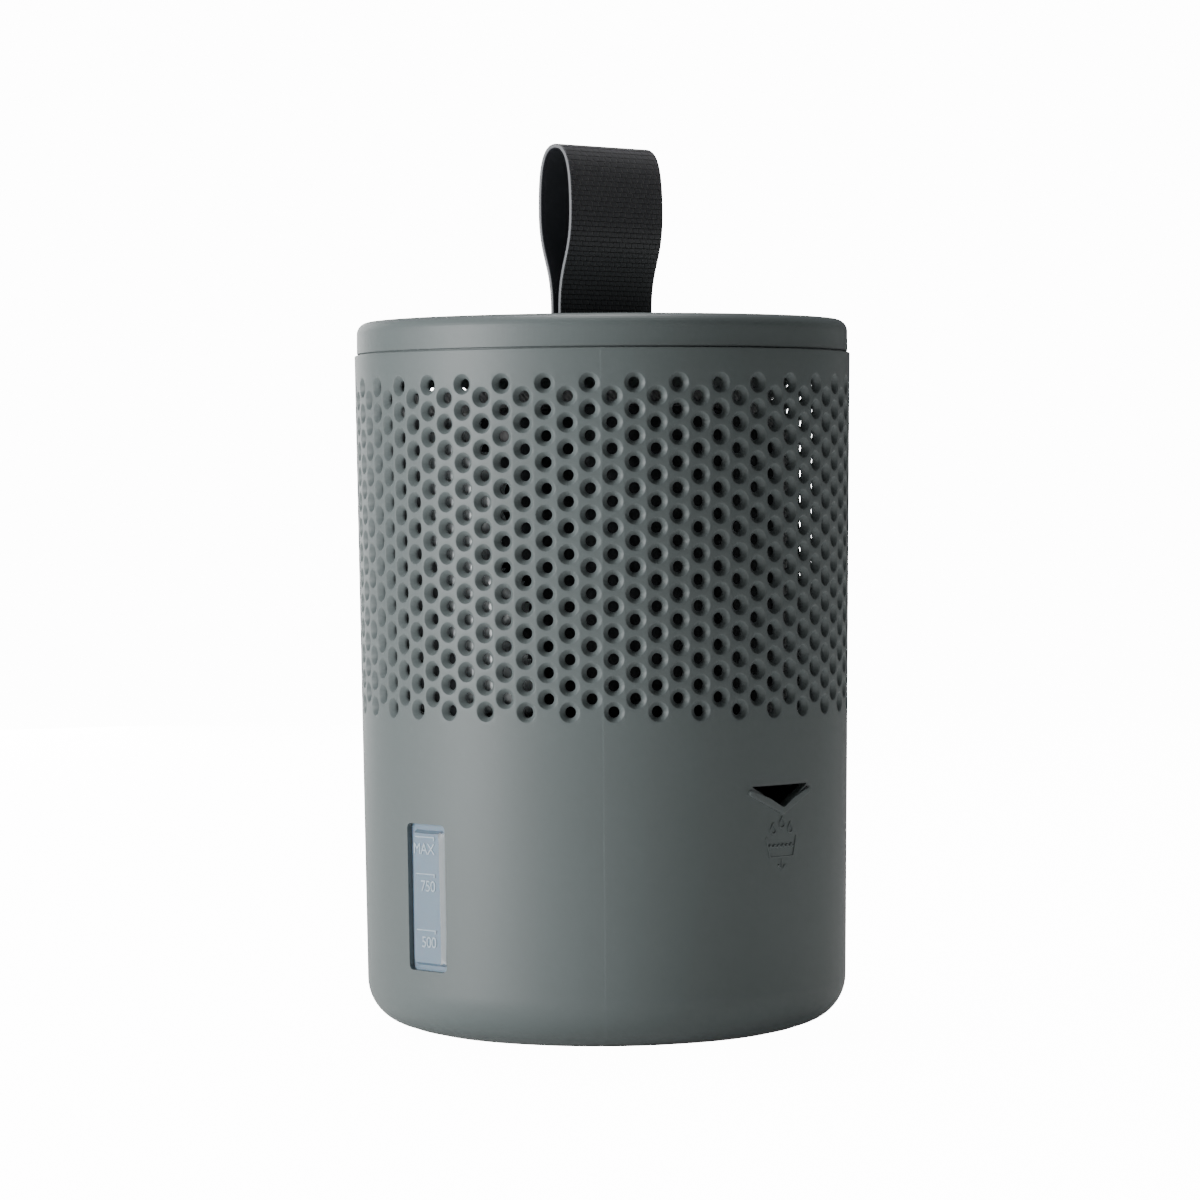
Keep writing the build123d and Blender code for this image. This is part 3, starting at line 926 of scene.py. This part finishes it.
side_x = tail_spacing / 2
half_path = [(slot_half + tail_length * (1 - k / 6), tail_level) for k in range(7)]
for k in range(1, 7):
    angle = math.radians(270 - 90 * k / 6)
    bend_x = slot_half + tail_bend * math.cos(angle)
    half_path.append((bend_x, tail_level + tail_bend + tail_bend * math.sin(angle)))
half_path += [(side_x, lid_top - 0.35 * mm), (side_x, loop_root)]
root = (side_x, loop_root)
widest = (loop_half, loop_widest)
half_path += bezier([root, (side_x, loop_root + neck), (loop_half, loop_widest - neck), widest], 24)
half_path += bezier(
    [widest, (loop_half, loop_widest + crown), (crown_flatness * loop_half, loop_top), (0, loop_top)], 16
)
path = half_path + [(-x, z) for x, z in half_path[-2::-1]]
lengths = [0.0]
for (x0, z0), (x1, z1) in zip(path, path[1:]):
    lengths.append(lengths[-1] + math.hypot(x1 - x0, z1 - z0))
start_piece()
bpy.ops.mesh.primitive_grid_add(x_subdivisions=len(path) - 1, y_subdivisions=8, size=1)
strap = bpy.context.object
strap.name = "webbing_strap"
layer = strap.data.uv_layers[0].data
for loop in strap.data.loops:
    flat = strap.data.vertices[loop.vertex_index].co
    step = round((flat.x + 0.5) * (len(path) - 1))
    layer[loop.index].uv = (lengths[step] / mm, (flat.y + 0.5) * strap_width / mm)
for vertex in strap.data.vertices:
    x, z = path[round((vertex.co.x + 0.5) * (len(path) - 1))]
    vertex.co = (x, vertex.co.y * strap_width, z)
bpy.context.view_layer.update()
crown_face = max(strap.data.polygons, key=lambda face: face.center.z)
if crown_face.normal.z < 0:
    bpy.ops.object.mode_set(mode="EDIT")
    bpy.ops.mesh.select_all(action="SELECT")
    bpy.ops.mesh.flip_normals()
    bpy.ops.object.mode_set(mode="OBJECT")


def strap_rubber(name, colour, roughness):
    """A soft rubber for one side of the strap."""
    material, nodes, principled = new_material(name)
    principled.inputs["Base Color"].default_value = linear(colour)
    principled.inputs["Roughness"].default_value = roughness
    return material, nodes, principled


weave, tree, shader = strap_rubber("woven_strap_face", "#3C3D40", 0.38)
flat = add_node(tree, "ShaderNodeUVMap")
split = add_node(tree, "ShaderNodeSeparateXYZ", links=[("Vector", flat, "UV")])
slant = add_node(
    tree, "ShaderNodeMath", {"operation": "MULTIPLY_ADD"}, {1: 0.35}, [(0, split, "X"), (2, split, "Y")]
)
leaned = add_node(tree, "ShaderNodeCombineXYZ", links=[("X", slant, "Value"), ("Y", split, "X")])
threads = add_node(
    tree, "ShaderNodeTexBrick", {"offset": 0.5},
    {"Scale": 1.0, "Mortar Size": 0.2, "Mortar Smooth": 0.9, "Brick Width": 2.6, "Row Height": 1.5},
    [("Vector", leaned, "Vector")],
)
bump = add_node(
    tree, "ShaderNodeBump", {"invert": True}, {"Strength": 0.9, "Distance": 0.3 * mm},
    [("Height", threads, "Fac")],
)
tree.links.new(bump.outputs["Normal"], shader.inputs["Normal"])
# The threads are painted lighter and the gaps between them near black: a painted highlight on the threads
# and painted shade in the gaps
painted_weave_light_shade = add_node(
    tree, "ShaderNodeMix", {"data_type": "RGBA"}, {"A": linear("#515257"), "B": linear("#161719")},
    [("Factor", threads, "Fac")],
)
tree.links.new(painted_weave_light_shade.outputs["Result"], shader.inputs["Base Color"])
shader.inputs["Sheen Weight"].default_value = 0.35
backing, tree, shader = strap_rubber("smooth_strap_back", "#4A4C52", 0.6)
edging, tree, shader = strap_rubber("rolled_strap_edge", "#7C7E82", 0.5)
for material in (weave, backing, edging):
    strap.data.materials.append(material)
apply_modifier(
    strap, "SOLIDIFY", thickness=strap_thickness, offset=0, use_even_offset=True, material_offset=1,
    material_offset_rim=2,
)
apply_modifier(
    strap, "BEVEL", width=0.4 * mm, segments=3, limit_method="ANGLE", angle_limit=math.radians(60)
)
for face in strap.data.polygons:
    face.use_smooth = True
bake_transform(strap)
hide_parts("strap_loop", "strap_tails")
